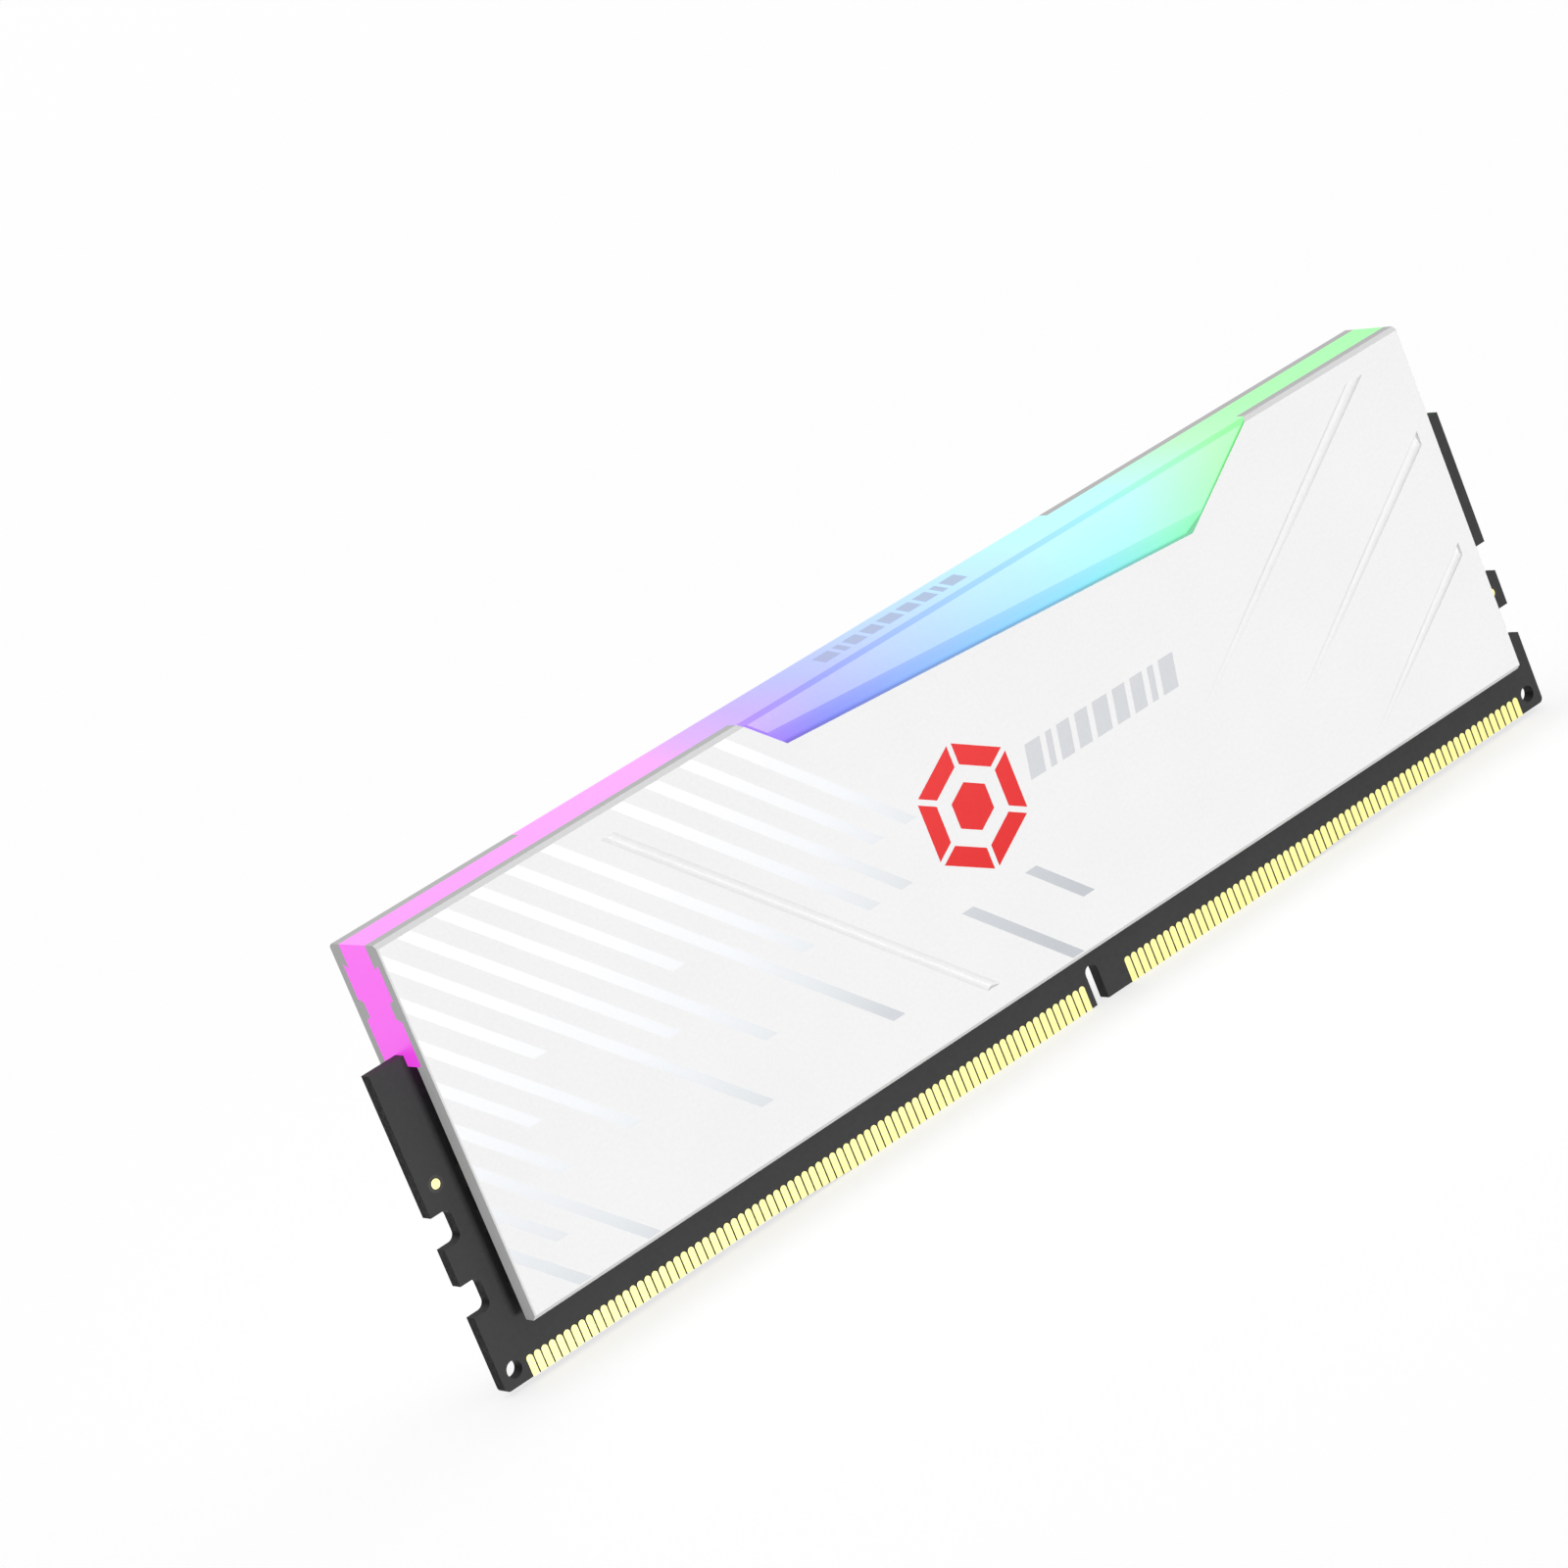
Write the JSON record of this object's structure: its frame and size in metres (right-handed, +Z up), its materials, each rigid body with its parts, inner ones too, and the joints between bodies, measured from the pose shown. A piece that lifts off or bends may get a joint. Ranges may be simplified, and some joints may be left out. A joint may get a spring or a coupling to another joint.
{
  "type": "memory module",
  "caption": "Desktop memory module: a circuit card with gold edge contacts between two white aluminium heat spreader shells with a colour-lit diffuser bar along the top.",
  "frame": {"origin": "half-way along the card, on its mid-plane in thickness, at the height of its lowest edge", "axes": "+X along the card's length, +Z up from the edge contacts to the diffuser, front face towards -Y"},
  "size_m": [0.1334, 0.0076, 0.0417],
  "materials": {
    "solder_mask": "satin",
    "gold_plating": "satin",
    "chip_package": "matte",
    "small_components": "satin",
    "led_lens": "gloss",
    "thermal_pad": "matte",
    "spreader_coat": "satin",
    "lit_diffuser": "satin"
  },
  "bodies": {
    "root": {"pcb": "solder_mask", "contact_pads_front": "gold_plating", "contact_pads_back": "gold_plating", "fiducial_dots": "gold_plating", "spd_eeprom": "chip_package", "led_controller": "chip_package", "termination_resistors": "small_components", "decoupling_capacitors": "small_components", "bulk_capacitors": "small_components", "rgb_leds": "led_lens", "thermal_pad_front": "thermal_pad", "thermal_pad_back": "thermal_pad", "heat_spreader_front": "spreader_coat", "heat_spreader_back": "spreader_coat", "light_diffuser": "lit_diffuser", "dram_chip_1": "chip_package", "dram_chip_2": "chip_package", "dram_chip_3": "chip_package", "dram_chip_4": "chip_package", "dram_chip_5": "chip_package", "dram_chip_6": "chip_package", "dram_chip_7": "chip_package", "dram_chip_8": "chip_package"}
  },
  "joints": []
}
